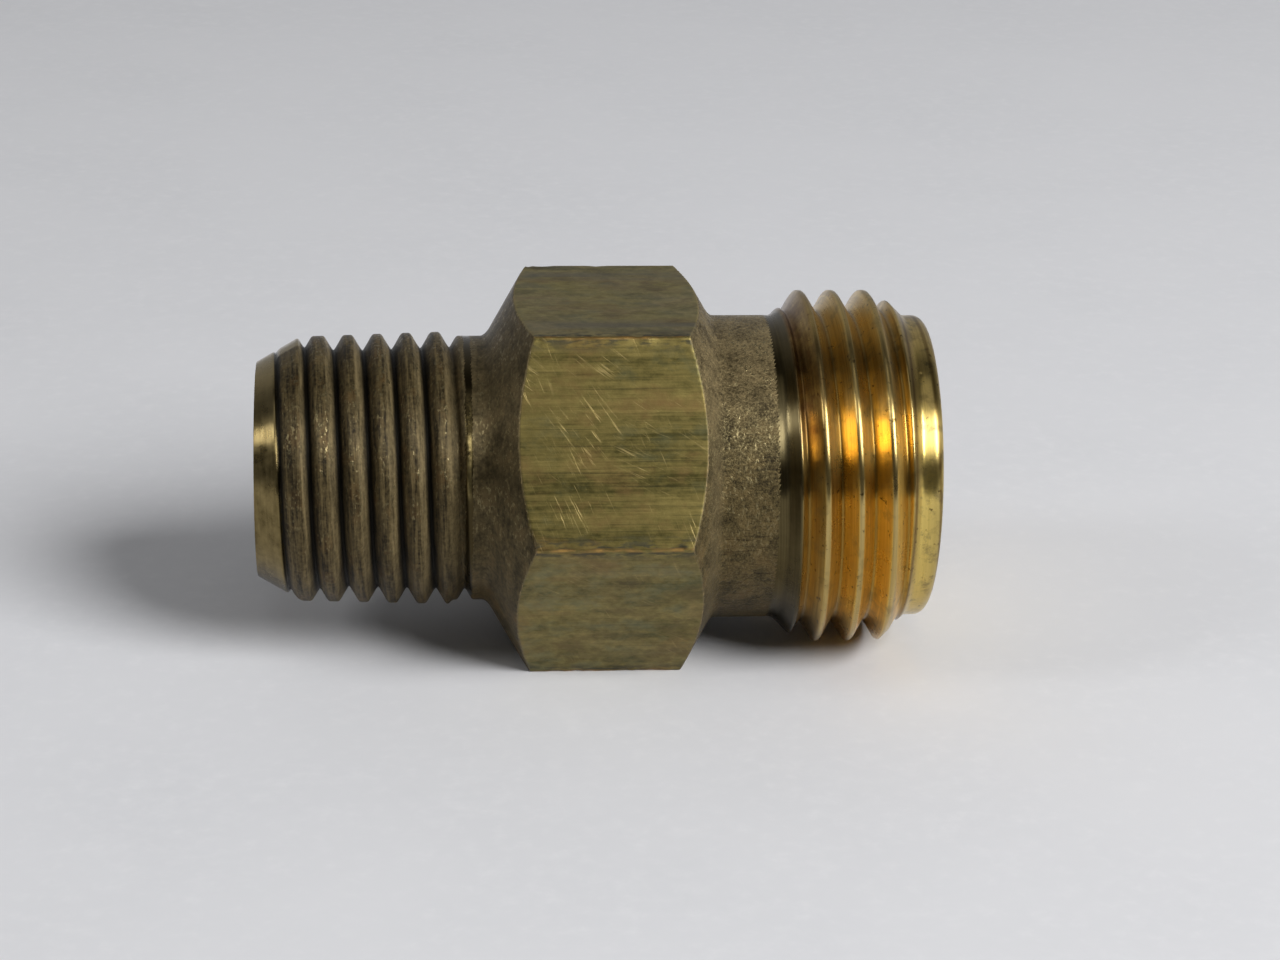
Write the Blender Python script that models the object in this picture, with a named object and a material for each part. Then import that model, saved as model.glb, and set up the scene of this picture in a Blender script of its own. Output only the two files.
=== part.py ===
"""Brass union fitting: a hexagon body with a taper pipe thread and a straight thread, and its strainer.

The flow axis is +X, from the pipe thread to the outlet. The origin lies on that axis at mid length, and
the body rests on a hexagon flat, so +Z is up. Stations are measured along the flow axis from the inlet
face. The outer pieces are turned, so each is an outline of (station, radius) corners spun about the axis.
"""

import math

import bmesh
import bpy

MM = 0.001
TURN = 2.0 * math.pi

# Driving dimensions in millimetres.
LENGTH = 32.7
SEGMENTS = 48
STRAINER_SEGMENTS = 32
GAP = 0.3

# Hexagon of 11/16 inch bar, with cones turned on both sides.
HEX_ACROSS_FLATS = 17.4625
HEX_CORNER_RADIUS = HEX_ACROSS_FLATS / math.sqrt(3.0)
HEX_CORNER_START = 13.2
HEX_CORNER_END = 20.55
CONE_RISE = math.tan(math.radians(30.0))
CONE_OVERSHOOT = 0.5

# Taper pipe thread, 18 turns to the inch, one in sixteen on diameter.
PIPE_PITCH = 25.4 / 18.0
PIPE_TAPER = 1.0 / 32.0
PIPE_CREST_RADIUS = 6.43
PIPE_DEPTH = 0.9
PIPE_ROOT_HALF_WIDTH = 0.076
PIPE_GROOVE_STATION = 3.755
PIPE_FIRST_TURN = -2.125
PIPE_FULL_DEPTH_TURN = -1.6
PIPE_RUN_OUT_TURN = 4.5
PIPE_LAST_TURN = 4.875
INLET_FACE_RADIUS = 5.25
PIPE_NECK_START = 9.2
PIPE_NECK_RADIUS = 6.48

# Straight coupling thread, 11/16 inch, 16 turns to the inch.
STRAIGHT_PITCH = 25.4 / 16.0
STRAIGHT_CREST_RADIUS = 8.68
STRAIGHT_DEPTH = 0.93
STRAIGHT_ROOT_HALF_WIDTH = 0.13
STRAIGHT_GROOVE_STATION = 25.84
STRAIGHT_FIRST_TURN = -1.0
STRAIGHT_LAST_TURN = 4.25
STRAIGHT_START = 25.2
OUTLET_NECK_RADIUS = 7.45
NOSE_START = 31.64
NOSE_RADIUS = 7.42
NOSE_CORNER = 0.5

FLANK_SLOPE = math.tan(math.radians(30.0))
CUTTER_MARGIN = 0.08
RUN_OUT_CLEARANCE = 0.15
FILLET = 0.5

# Stepped bore.
INLET_BORE_RADIUS = 3.55
INLET_BORE_CHAMFER = 0.3
CHAMBER_START = 10.9
CHAMBER_RADIUS = 4.6
RECESS_START = 30.8
RECESS_RADIUS = 5.7

# Strainer and its gasket, stacked in the outlet recess.
GASKET_INNER_RADIUS = 4.5
GASKET_THICKNESS = 0.5
FLANGE_RADIUS = RECESS_RADIUS - GAP
FLANGE_THICKNESS = 0.6
FLANGE_START = RECESS_START + GASKET_THICKNESS + 2.0 * GAP
STRAINER_BORE_RADIUS = 3.1
BARREL_RADIUS = 3.6
BARREL_START = 13.5
COLLAR_RADIUS = 4.1
COLLAR_START = 30.2
SCREEN_THICKNESS = 0.2
PLUG_START = 12.5
PLUG_THICKNESS = 0.7
SPIGOT_END = 14.6
WINDOW_ROWS = 3
WINDOW_LENGTH = 4.0
WINDOW_WIDTH = 2.6
WINDOW_FIRST_STATION = 17.4
WINDOW_SPACING = 5.0

# Name: (colour, roughness, metallic).
FINISHES = {
    "aged_brass": ((0.27, 0.22, 0.11), 0.45, 1.0),
    "turned_brass": ((0.62, 0.47, 0.2), 0.3, 1.0),
    "steel_mesh": ((0.5, 0.5, 0.48), 0.35, 1.0),
    "gasket_rubber": ((0.03, 0.03, 0.03), 0.7, 0.0),
}


def clear_scene():
    for item in list(bpy.data.objects):
        bpy.data.objects.remove(item, do_unlink=True)


def finish(name):
    """The shared Principled material of that name."""
    material = bpy.data.materials.get(name)
    if material is None:
        colour, roughness, metallic = FINISHES[name]
        material = bpy.data.materials.new(name)
        material.use_nodes = True
        shader = material.node_tree.nodes["Principled BSDF"]
        shader.inputs["Base Color"].default_value = (*colour, 1.0)
        shader.inputs["Roughness"].default_value = roughness
        shader.inputs["Metallic"].default_value = metallic
    return material


def place(station, radius, turn):
    """A point on the part. Turns start at the top and go over the near side, which is -Y."""
    angle = TURN * turn
    x = station - LENGTH / 2.0
    return (x * MM, -radius * math.sin(angle) * MM, radius * math.cos(angle) * MM)


def add_object(name, bm, material=None):
    """An object from a bmesh, shaded smooth except along its sharp edges."""
    bmesh.ops.recalc_face_normals(bm, faces=bm.faces)
    mesh = bpy.data.meshes.new(name)
    bm.to_mesh(mesh)
    bm.free()
    mesh.shade_smooth()
    mesh.set_sharp_from_angle(angle=math.radians(30.0))
    item = bpy.data.objects.new(name, mesh)
    bpy.context.scene.collection.objects.link(item)
    if material:
        mesh.materials.append(finish(material))
    return item


def bridge(bm, rings):
    """Quads between neighbouring rings of equally many vertices."""
    for ring, after in zip(rings, rings[1:]):
        for i in range(len(ring)):
            j = (i + 1) % len(ring)
            bm.faces.new((ring[i], ring[j], after[j], after[i]))


def turned(name, outline, segments, material):
    """A closed outline of (station, radius) corners, spun about the flow axis into a ring-shaped solid."""
    bm = bmesh.new()
    rings = []
    for step in range(segments):
        rings.append([bm.verts.new(place(station, radius, step / segments)) for station, radius in outline])
    bridge(bm, rings + rings[:1])
    return add_object(name, bm, material)


def turned_plug(name, outline, segments, material):
    """An open outline that starts and ends on the axis, spun into a solid without a bore."""
    bm = bmesh.new()
    rings = []
    for station, radius in outline:
        rings.append([bm.verts.new(place(station, radius, step / segments)) for step in range(segments)])
    bridge(bm, rings)
    bm.faces.new(rings[0])
    bm.faces.new(rings[-1])
    return add_object(name, bm, material)


def rounded(corner, before, after, radius, steps):
    """Points of the arc that rounds the corner between two straight stretches of an outline."""
    def unit(target):
        length = math.dist(corner, target)
        return ((target[0] - corner[0]) / length, (target[1] - corner[1]) / length)

    back, ahead = unit(before), unit(after)
    half_angle = math.acos(back[0] * ahead[0] + back[1] * ahead[1]) / 2.0
    middle = (back[0] + ahead[0], back[1] + ahead[1])
    reach = radius / math.sin(half_angle) / math.hypot(*middle)
    centre = (corner[0] + middle[0] * reach, corner[1] + middle[1] * reach)
    cut = radius / math.tan(half_angle)
    first = (corner[0] + back[0] * cut, corner[1] + back[1] * cut)
    last = (corner[0] + ahead[0] * cut, corner[1] + ahead[1] * cut)
    start = math.atan2(first[1] - centre[1], first[0] - centre[0])
    sweep = math.atan2(last[1] - centre[1], last[0] - centre[0]) - start
    sweep = (sweep + math.pi) % TURN - math.pi
    angles = [start + sweep * step / steps for step in range(steps + 1)]
    return [(centre[0] + radius * math.cos(a), centre[1] + radius * math.sin(a)) for a in angles]


def cutter(name, bm):
    item = add_object(name, bm)
    item.hide_render = True
    item.display_type = "WIRE"
    return item


def combine(target, tool, operation):
    modifier = target.modifiers.new(tool.name, "BOOLEAN")
    modifier.object = tool
    modifier.operation = operation
    modifier.solver = "EXACT"


def hexagon_bar():
    """The hexagon bar that the body is turned from, longer than the body, with flats at top and bottom."""
    bm = bmesh.new()
    rings = []
    for station in (-1.0, LENGTH + 1.0):
        corners = [(side + 0.5) / 6.0 for side in range(6)]
        rings.append([bm.verts.new(place(station, HEX_CORNER_RADIUS, turn)) for turn in corners])
    bridge(bm, rings)
    bm.faces.new(rings[0])
    bm.faces.new(rings[1])
    return cutter("hexagon_bar", bm)


def helical_cutter(name, section_at, first_turn, last_turn):
    """The groove that a thread tool leaves: section_at(turn) gives the corners of its section."""
    bm = bmesh.new()
    rings = []
    for step in range(round((last_turn - first_turn) * SEGMENTS) + 1):
        turn = first_turn + step / SEGMENTS
        rings.append([bm.verts.new(place(station, radius, turn)) for station, radius in section_at(turn)])
    bridge(bm, rings)
    bm.faces.new(rings[0])
    bm.faces.new(rings[-1])
    return cutter(name, bm)


def groove_section(station, root_radius, root_half_width, depth):
    """Four corners of a 60 degree groove, open a little above the crests."""
    top_half_width = root_half_width + (depth + CUTTER_MARGIN) * FLANK_SLOPE
    top_radius = root_radius + depth + CUTTER_MARGIN
    return [
        (station - root_half_width, root_radius),
        (station + root_half_width, root_radius),
        (station + top_half_width, top_radius),
        (station - top_half_width, top_radius),
    ]


def pipe_groove(turn):
    """The taper thread's groove: it deepens over its first turns and runs out near the hexagon."""
    station = PIPE_GROOVE_STATION + PIPE_PITCH * turn
    root_radius = PIPE_CREST_RADIUS + station * PIPE_TAPER - PIPE_DEPTH
    clear = PIPE_DEPTH + RUN_OUT_CLEARANCE
    entering = (PIPE_FULL_DEPTH_TURN - turn) / (PIPE_FULL_DEPTH_TURN - PIPE_FIRST_TURN)
    leaving = (turn - PIPE_RUN_OUT_TURN) / (PIPE_LAST_TURN - PIPE_RUN_OUT_TURN)
    lift = clear * max(entering, leaving, 0.0)
    return groove_section(station, root_radius + lift, PIPE_ROOT_HALF_WIDTH, PIPE_DEPTH)


def straight_groove(turn):
    station = STRAIGHT_GROOVE_STATION + STRAIGHT_PITCH * turn
    root_radius = STRAIGHT_CREST_RADIUS - STRAIGHT_DEPTH
    return groove_section(station, root_radius, STRAIGHT_ROOT_HALF_WIDTH, STRAIGHT_DEPTH)


def body_outline():
    """Outer surface from the inlet face to the outlet face, then the stepped bore back to the inlet."""
    crest_rise = (PIPE_CREST_RADIUS - INLET_FACE_RADIUS) / (CONE_RISE - PIPE_TAPER)
    crest_start = (crest_rise, PIPE_CREST_RADIUS + crest_rise * PIPE_TAPER)
    crest_end = (PIPE_NECK_START, PIPE_CREST_RADIUS + PIPE_NECK_START * PIPE_TAPER)
    disc_radius = HEX_CORNER_RADIUS + CONE_OVERSHOOT
    overshoot = CONE_OVERSHOOT * CONE_RISE
    inlet_cone = (HEX_CORNER_START - (HEX_CORNER_RADIUS - PIPE_NECK_RADIUS) * CONE_RISE, PIPE_NECK_RADIUS)
    outlet_cone = (HEX_CORNER_END + (HEX_CORNER_RADIUS - OUTLET_NECK_RADIUS) * CONE_RISE, OUTLET_NECK_RADIUS)
    disc_start = (HEX_CORNER_START + overshoot, disc_radius)
    disc_end = (HEX_CORNER_END - overshoot, disc_radius)
    neck_start = (PIPE_NECK_START + crest_end[1] - PIPE_NECK_RADIUS, PIPE_NECK_RADIUS)
    thread_start = (STRAIGHT_START, OUTLET_NECK_RADIUS)
    nose_corner = (LENGTH, NOSE_RADIUS)
    nose_base = (NOSE_START, NOSE_RADIUS)

    outline = [(0.0, INLET_FACE_RADIUS), crest_start, crest_end, neck_start]
    outline += rounded(inlet_cone, neck_start, disc_start, FILLET, 2)
    outline += [disc_start, disc_end]
    outline += rounded(outlet_cone, disc_end, thread_start, FILLET, 2)
    outline += [
        thread_start,
        (STRAIGHT_START + STRAIGHT_CREST_RADIUS - OUTLET_NECK_RADIUS, STRAIGHT_CREST_RADIUS),
        (NOSE_START - (STRAIGHT_CREST_RADIUS - NOSE_RADIUS), STRAIGHT_CREST_RADIUS),
        nose_base,
    ]
    outline += rounded(nose_corner, nose_base, (LENGTH, RECESS_RADIUS), NOSE_CORNER, 4)
    outline += [
        (LENGTH, RECESS_RADIUS),
        (RECESS_START, RECESS_RADIUS),
        (RECESS_START, CHAMBER_RADIUS),
        (CHAMBER_START + (CHAMBER_RADIUS - INLET_BORE_RADIUS) * CONE_RISE, CHAMBER_RADIUS),
        (CHAMBER_START, INLET_BORE_RADIUS),
        (INLET_BORE_CHAMFER, INLET_BORE_RADIUS),
        (0.0, INLET_BORE_RADIUS + INLET_BORE_CHAMFER),
    ]
    return outline


def make_body():
    body = turned("fitting_body", body_outline(), SEGMENTS, "aged_brass")
    combine(body, hexagon_bar(), "INTERSECT")
    pipe = helical_cutter("pipe_groove", pipe_groove, PIPE_FIRST_TURN, PIPE_LAST_TURN)
    combine(body, pipe, "DIFFERENCE")
    straight = helical_cutter("straight_groove", straight_groove, STRAIGHT_FIRST_TURN, STRAIGHT_LAST_TURN)
    combine(body, straight, "DIFFERENCE")


def tube_outline(start, end, inner_radius, outer_radius):
    return [(start, outer_radius), (end, outer_radius), (end, inner_radius), (start, inner_radius)]


def make_gasket():
    start = RECESS_START + GAP
    outline = tube_outline(start, start + GASKET_THICKNESS, GASKET_INNER_RADIUS, FLANGE_RADIUS)
    turned("seat_gasket", outline, STRAINER_SEGMENTS, "gasket_rubber")


def window_cutter(row, sideways):
    """A box across the barrel that opens two opposite windows, along Y when sideways, otherwise along Z."""
    middle = WINDOW_FIRST_STATION + row * WINDOW_SPACING - LENGTH / 2.0
    reach = 2.0 * (BARREL_RADIUS + 1.0)
    size = (WINDOW_LENGTH, reach, WINDOW_WIDTH) if sideways else (WINDOW_LENGTH, WINDOW_WIDTH, reach)
    bm = bmesh.new()
    bmesh.ops.create_cube(bm, size=1.0)
    bmesh.ops.scale(bm, vec=[side * MM for side in size], verts=bm.verts)
    bmesh.ops.translate(bm, vec=(middle * MM, 0.0, 0.0), verts=bm.verts)
    return cutter(f"window_{row}_{'y' if sideways else 'z'}", bm)


def make_strainer_barrel():
    outline = [
        (BARREL_START, BARREL_RADIUS),
        (COLLAR_START, BARREL_RADIUS),
        (COLLAR_START, COLLAR_RADIUS),
        (FLANGE_START, COLLAR_RADIUS),
        (FLANGE_START, FLANGE_RADIUS),
        (FLANGE_START + FLANGE_THICKNESS, FLANGE_RADIUS),
        (FLANGE_START + FLANGE_THICKNESS, STRAINER_BORE_RADIUS),
        (BARREL_START, STRAINER_BORE_RADIUS),
    ]
    barrel = turned("strainer_barrel", outline, STRAINER_SEGMENTS, "turned_brass")
    for row in range(WINDOW_ROWS):
        for sideways in (True, False):
            combine(barrel, window_cutter(row, sideways), "DIFFERENCE")


def make_strainer_screen():
    inner = BARREL_RADIUS + GAP
    outline = tube_outline(BARREL_START, COLLAR_START - GAP, inner, inner + SCREEN_THICKNESS)
    turned("strainer_screen", outline, STRAINER_SEGMENTS, "steel_mesh")


def make_strainer_end_plug():
    spigot_radius = STRAINER_BORE_RADIUS - GAP
    outline = [
        (PLUG_START, COLLAR_RADIUS),
        (PLUG_START + PLUG_THICKNESS, COLLAR_RADIUS),
        (PLUG_START + PLUG_THICKNESS, spigot_radius),
        (SPIGOT_END, spigot_radius),
    ]
    turned_plug("strainer_end_plug", outline, STRAINER_SEGMENTS, "turned_brass")


def main():
    clear_scene()
    make_body()
    make_gasket()
    make_strainer_barrel()
    make_strainer_screen()
    make_strainer_end_plug()


main()
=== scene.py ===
"""Looks of the brass union fitting: its body, strainer and gasket in full detail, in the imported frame.

Stations and radii are in millimetres, and stations are measured along the flow axis from the inlet face.
A turn is a share of a full circle about that axis: 0 at the top, and a quarter on the near side, which is -Y.
"""

import math
import random

import bmesh
import bpy
import numpy as np
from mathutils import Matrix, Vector


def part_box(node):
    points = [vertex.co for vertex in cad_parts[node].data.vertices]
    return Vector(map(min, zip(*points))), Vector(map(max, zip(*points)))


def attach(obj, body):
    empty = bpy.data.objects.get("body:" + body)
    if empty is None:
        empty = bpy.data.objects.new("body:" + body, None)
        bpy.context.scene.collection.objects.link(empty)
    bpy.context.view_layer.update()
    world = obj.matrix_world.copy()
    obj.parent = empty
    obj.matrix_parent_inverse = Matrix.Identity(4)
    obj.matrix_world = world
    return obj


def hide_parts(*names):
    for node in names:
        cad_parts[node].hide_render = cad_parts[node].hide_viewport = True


MM = 0.001
TAU = 2.0 * math.pi

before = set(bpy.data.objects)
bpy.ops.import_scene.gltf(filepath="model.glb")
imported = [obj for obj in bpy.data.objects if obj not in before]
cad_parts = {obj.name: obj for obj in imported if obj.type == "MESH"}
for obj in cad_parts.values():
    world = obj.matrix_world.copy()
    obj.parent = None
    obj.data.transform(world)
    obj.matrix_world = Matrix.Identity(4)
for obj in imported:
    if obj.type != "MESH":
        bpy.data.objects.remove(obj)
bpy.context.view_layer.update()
BODY_LOW, BODY_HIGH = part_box("fitting_body")
FLANGE_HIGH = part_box("strainer_barrel")[1]
SCREEN_LOW, SCREEN_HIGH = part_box("strainer_screen")
PLUG_LOW, PLUG_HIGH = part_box("strainer_end_plug")
GASKET_LOW, GASKET_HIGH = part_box("seat_gasket")

INLET_X = BODY_LOW.x / MM
LENGTH = (BODY_HIGH.x - BODY_LOW.x) / MM
HEX_APOTHEM = BODY_HIGH.z / MM
HEX_CORNER = HEX_APOTHEM / math.cos(math.radians(30.0))

# Widths over which two surfaces' crossing is rounded: at an edge, a worn corner and a neck's end.
EDGE_WIDTH = 0.07
CORNER_WIDTH = 0.09
FILLET_WIDTH = 0.45

# Hexagon and its cones.
HEX_START = 13.2
HEX_END = 20.55
CONE_SLOPE = 1.0 / math.tan(math.radians(30.0))

# Taper pipe thread.
PIPE_PITCH = 25.4 / 18.0
PIPE_TAPER = 1.0 / 32.0
PIPE_CREST = 6.4
PIPE_DEPTH = 0.78
PIPE_ROOT = 0.045
PIPE_GROOVE = 3.8
PIPE_FIRST_TURN = -2.125
PIPE_RUN_OUT_TURN = 4.5
PIPE_LAST_TURN = 4.875
PIPE_END = 9.2
INLET_RADIUS = 5.25
INLET_NECK = 6.48
RUBBED_RING = 10.18
RUBBED_HALF_WIDTH = 0.17
CHAMFER_END = 2.1

# Straight thread and nose.
STRAIGHT_PITCH = 25.4 / 16.0
STRAIGHT_CREST = 8.68
STRAIGHT_DEPTH = 1.02
STRAIGHT_ROOT = 0.105
STRAIGHT_GROOVE = 25.84
STRAIGHT_START = 25.2
RUN_OUT_START = 24.75
OUTLET_NECK = 7.45
NOSE_START = 31.64
NOSE_RADIUS = 7.42
NOSE_CORNER = 0.5

# Where the threads' leads have faded out on the necks, and a station between the two threads.
PIPE_LEAD_END = 10.6
STRAIGHT_LEAD_START = 23.6
BETWEEN_THREADS = 18.0

# Stepped bore.
INLET_BORE = 3.55
INLET_CHAMFER = 0.3
CHAMBER_START = 10.9
CHAMBER = 4.6
RECESS_START = 30.8
RECESS = 5.7


def smooth_min(a, b, width):
    """The lower of a and b, with their crossing rounded over the given width."""
    share = np.clip(0.5 + 0.5 * (b - a) / width, 0.0, 1.0)
    return b + (a - b) * share - width * share * (1.0 - share)


def smooth_max(a, b, width):
    """The higher of a and b, rounded in the same way."""
    return -smooth_min(-a, -b, width)


def groove(station, turn, first_station, pitch, root_radius, rounding, lift_at):
    """Radius that a 60 degree thread tool with a slightly rounded tip leaves at these stations."""
    whole = np.round((station - first_station) / pitch - turn)
    distance = station - first_station - (whole + turn) * pitch
    flank = (np.sqrt(distance**2 + rounding**2) - rounding) * CONE_SLOPE
    return root_radius + flank + lift_at(whole + turn)


def pipe_lift(turn):
    """How far the pipe thread's tool stands off: shallow on its first turns, and leaving at the last."""
    turns = (-2.5, PIPE_FIRST_TURN, -1.5, -1.0, -0.5, 0.0, 0.3)
    entering = np.interp(turn, turns, (0.9, 0.0, 0.26, 0.24, 0.12, 0.05, 0.0))
    leaving = (turn - PIPE_RUN_OUT_TURN) / (PIPE_LAST_TURN - PIPE_RUN_OUT_TURN)
    return entering + (PIPE_DEPTH + 0.15) * np.maximum(leaving, 0.0)


def hexagon_radius(turn):
    """Distance from the axis to the hexagon's flats, with worn corners, and from there to the next corner."""
    sixth = (turn * 6.0 + 0.5) % 1.0 - 0.5
    here = HEX_APOTHEM / math.cos(sixth * TAU / 6.0)
    beyond = HEX_APOTHEM / math.cos((1.0 - abs(sixth)) * TAU / 6.0)
    to_corner = (0.5 - abs(sixth)) * TAU / 6.0 * HEX_CORNER
    return float(smooth_min(here, beyond, CORNER_WIDTH)), to_corner


def wound_station(station, turn):
    """Station measured along the threads' own lead, so that it stays the same all along one thread line."""
    from_top = (turn + 0.5) % 1.0 - 0.5
    in_pipe = np.clip(PIPE_LEAD_END - station, 0.0, 1.0)
    in_straight = np.clip(station - STRAIGHT_LEAD_START, 0.0, 1.0)
    return station - from_top * (PIPE_PITCH * in_pipe + STRAIGHT_PITCH * in_straight)


def root_distance(station, turn):
    """How far a point is, along the axis, from the bottom line of its thread groove."""
    at_inlet = station < BETWEEN_THREADS
    first = np.where(at_inlet, PIPE_GROOVE, STRAIGHT_GROOVE)
    pitch = np.where(at_inlet, PIPE_PITCH, STRAIGHT_PITCH)
    away = (station - first) / pitch - turn
    return np.abs(away - np.round(away)) * pitch


def is_clean(station, turn):
    """Whether the brass is clean: on the lead chamfer, a ring of the neck, and from the run-out on."""
    chamfer_end = min(PIPE_GROOVE + (turn - 2.0) * PIPE_PITCH, CHAMFER_END)
    rubbed = np.abs(station - RUBBED_RING) < RUBBED_HALF_WIDTH
    return ((station < chamfer_end) | rubbed | (station > RUN_OUT_START)).astype(float)


def inlet_end(station, turn):
    """Radius and thread cut (0 on the blank, 1 at a root) of the pipe thread and its neck."""
    lead = INLET_RADIUS + station / CONE_SLOPE
    crest = smooth_min(lead, PIPE_CREST + station * PIPE_TAPER, EDGE_WIDTH)
    step = smooth_max(INLET_NECK + PIPE_END + 0.25 - station, INLET_NECK, 0.1)
    crest = np.where(station < PIPE_END - 1.0, crest, smooth_min(crest, step, EDGE_WIDTH))
    root = PIPE_CREST + station * PIPE_TAPER - PIPE_DEPTH
    cut = groove(station, turn, PIPE_GROOVE, PIPE_PITCH, root, PIPE_ROOT, pipe_lift)
    radius = smooth_min(crest, cut, 0.14)
    return radius, np.clip((crest - radius) / PIPE_DEPTH, 0.0, 1.0)


def outlet_end(station, turn):
    """Radius and thread cut of the outlet neck, the straight thread and the nose."""
    start = OUTLET_NECK + smooth_max(station - STRAIGHT_START, 0.0, 0.15)
    crest = smooth_min(start, STRAIGHT_CREST, EDGE_WIDTH)
    end = NOSE_RADIUS + smooth_max(NOSE_START - station, 0.0, 0.08)
    crest = smooth_min(crest, end, EDGE_WIDTH)
    root = STRAIGHT_CREST - STRAIGHT_DEPTH
    cut = groove(station, turn, STRAIGHT_GROOVE, STRAIGHT_PITCH, root, STRAIGHT_ROOT, lambda t: 0.0)
    radius = smooth_min(crest, cut, EDGE_WIDTH)
    depth = np.clip((crest - radius) / STRAIGHT_DEPTH, 0.0, 1.0)
    corner = np.clip(station - (LENGTH - NOSE_CORNER), 0.0, NOSE_CORNER)
    return radius - NOSE_CORNER + np.sqrt(NOSE_CORNER**2 - corner**2), depth


def hexagon_part(station, turn):
    """Radius of the hexagon with its cones, how far a point is on a flat, and how near it is to an edge."""
    rise = HEX_CORNER + (station - HEX_START) * CONE_SLOPE
    fall = HEX_CORNER + (HEX_END - station) * CONE_SLOPE
    cones = smooth_min(rise, fall, EDGE_WIDTH)
    flat, to_corner = hexagon_radius(turn)
    radius = smooth_min(cones, flat, EDGE_WIDTH)
    on_flat = np.clip((cones - flat) / 0.12 + 0.5, 0.0, 1.0)
    arc_edge = np.exp(-(((cones - flat - 0.03) / 0.09) ** 2))
    return radius, on_flat, arc_edge, to_corner + 0.0 * station


# What is stored at every vertex of the body for its finishes; outer_surface works them out.
MARKS = ("wound", "cut", "lean", "root", "clean", "flat", "edge", "corner", "around", "side")

# Tarnish of the six flats, from 0 for the brassiest to 1 for the greyest, starting at the top.
FLAT_TONES = (1.0, 0.0, 0.22, 0.5, 0.1, 0.7)


def make_nicks():
    """Dents from handling, as station, turn, depth and width: on the hexagon's corners and both ends."""
    chance = random.Random(11)
    nicks = []
    for _ in range(70):
        nicks.append((chance.uniform(12.6, 21.1), (chance.randrange(6) + 0.5) / 6.0, 0.05, 0.16))
    for _ in range(60):
        nicks.append((chance.uniform(2.5, 9.0), chance.random(), 0.05, 0.14))
    for _ in range(30):
        nicks.append((chance.uniform(25.5, 32.4), chance.random(), 0.03, 0.1))
    return [(s, t, d * chance.uniform(0.3, 1.0), w * chance.uniform(0.6, 1.4)) for s, t, d, w in nicks]


NICKS = make_nicks()


def nicks_at(station, turn):
    """Depth of the dents at these stations on one turn angle."""
    depth = 0.0 * station
    for nick_station, nick_turn, deep, width in NICKS:
        across = ((turn - nick_turn + 0.5) % 1.0 - 0.5) * TAU * STRAIGHT_CREST
        if abs(across) < 3.0 * width:
            depth += deep * np.exp(-((station - nick_station) ** 2 + across**2) / width**2)
    return depth


def outer_surface(station, turn):
    """Radius of the outer surface at an array of stations on one turn angle, with the marks on it."""
    middle, on_flat, edge, to_corner = hexagon_part(station, turn)
    at_inlet = station < (HEX_START + HEX_END) / 2.0
    left, left_cut = inlet_end(station, turn)
    right, right_cut = outlet_end(station, turn)
    end = np.where(at_inlet, left, right)
    radius = smooth_max(end, middle, FILLET_WIDTH)
    on_hexagon = np.clip((middle - end) / 0.3, 0.0, 1.0)
    marks = {
        "wound": wound_station(station, turn),
        "cut": np.where(at_inlet, left_cut, right_cut) * (1.0 - on_hexagon),
        "lean": np.clip(-np.gradient(radius, station) / 1.5, -1.0, 1.0) * (1.0 - on_hexagon),
        "flat": on_flat * on_hexagon,
        "edge": edge * on_hexagon,
        "corner": to_corner,
        "root": root_distance(station, turn),
        "clean": is_clean(station, turn),
        "around": ((turn + 0.5) % 1.0 - 0.5) * TAU * HEX_APOTHEM + 0.0 * station,
        "side": FLAT_TONES[int(turn * 6.0 + 0.5) % 6] + 0.0 * station,
    }
    return radius - nicks_at(station, turn), marks


# The body's mesh: its even columns, its rings in each thread pitch, and where the rings follow each thread.
BODY_COLUMNS = 180
THREAD_STEPS = 20
PIPE_STRETCH = (0.12, 11.05)
STRAIGHT_STRETCH = (25.03, 31.7)

# Start, end and spacing of the rings on each plain stretch between the threads.
MIDDLE_STRETCHES = (
    (11.1, 12.25, 0.1),
    (12.3, 13.7, 0.06),
    (13.7, 20.1, 0.3),
    (20.1, 21.5, 0.06),
    (21.5, 25.0, 0.12),
)


def helical_stations(turn, first_station, pitch, start, end):
    """Stations that follow a thread: evenly spaced over each pitch, and shifted with the turn angle."""
    spacing = pitch / THREAD_STEPS
    phase = (first_station + turn * pitch) % spacing
    count = int(math.floor((end - phase) / spacing)) + 1
    stations = phase + spacing * np.arange(count)
    return stations[stations > start]


def fixed_stations():
    """Stations on the plain stretches, closer together where the surface turns."""
    corner = LENGTH - NOSE_CORNER
    corner_steps = np.sin(np.linspace(0.0, math.pi / 2.0, 11)) * NOSE_CORNER
    return {
        "inlet": np.array([0.0, 0.02, 0.05, 0.1]),
        "middle": np.concatenate([np.arange(*stretch) for stretch in MIDDLE_STRETCHES]),
        "nose": np.concatenate([np.arange(31.75, corner - 0.02, 0.1), corner + corner_steps]),
    }


def column_turns():
    """Turn angles of the mesh columns: even, with extra ones beside the hexagon's corners."""
    turns = list(np.arange(BODY_COLUMNS) / BODY_COLUMNS)
    for side in range(6):
        corner = (side + 0.5) / 6.0
        for offset in (0.4, 0.9, 1.4):
            turns += [corner - offset / 360.0, corner + offset / 360.0]
    return sorted(turns)


def soften(points, radius, steps=3):
    """The polyline with each inner corner replaced by a short curve, so that its edges look worked."""
    out = [points[0]]
    for before, corner, after in zip(points, points[1:], points[2:]):
        before, corner, after = (np.array(p, float) for p in (before, corner, after))
        back, ahead = before - corner, after - corner
        reach = min(radius, 0.45 * np.linalg.norm(back), 0.45 * np.linalg.norm(ahead))
        back = corner + back / np.linalg.norm(back) * reach
        ahead = corner + ahead / np.linalg.norm(ahead) * reach
        for step in range(steps + 1):
            share = step / steps
            first, second = back + (corner - back) * share, corner + (ahead - corner) * share
            out.append(tuple(first + (second - first) * share))
    return out + [points[-1]]


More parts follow.
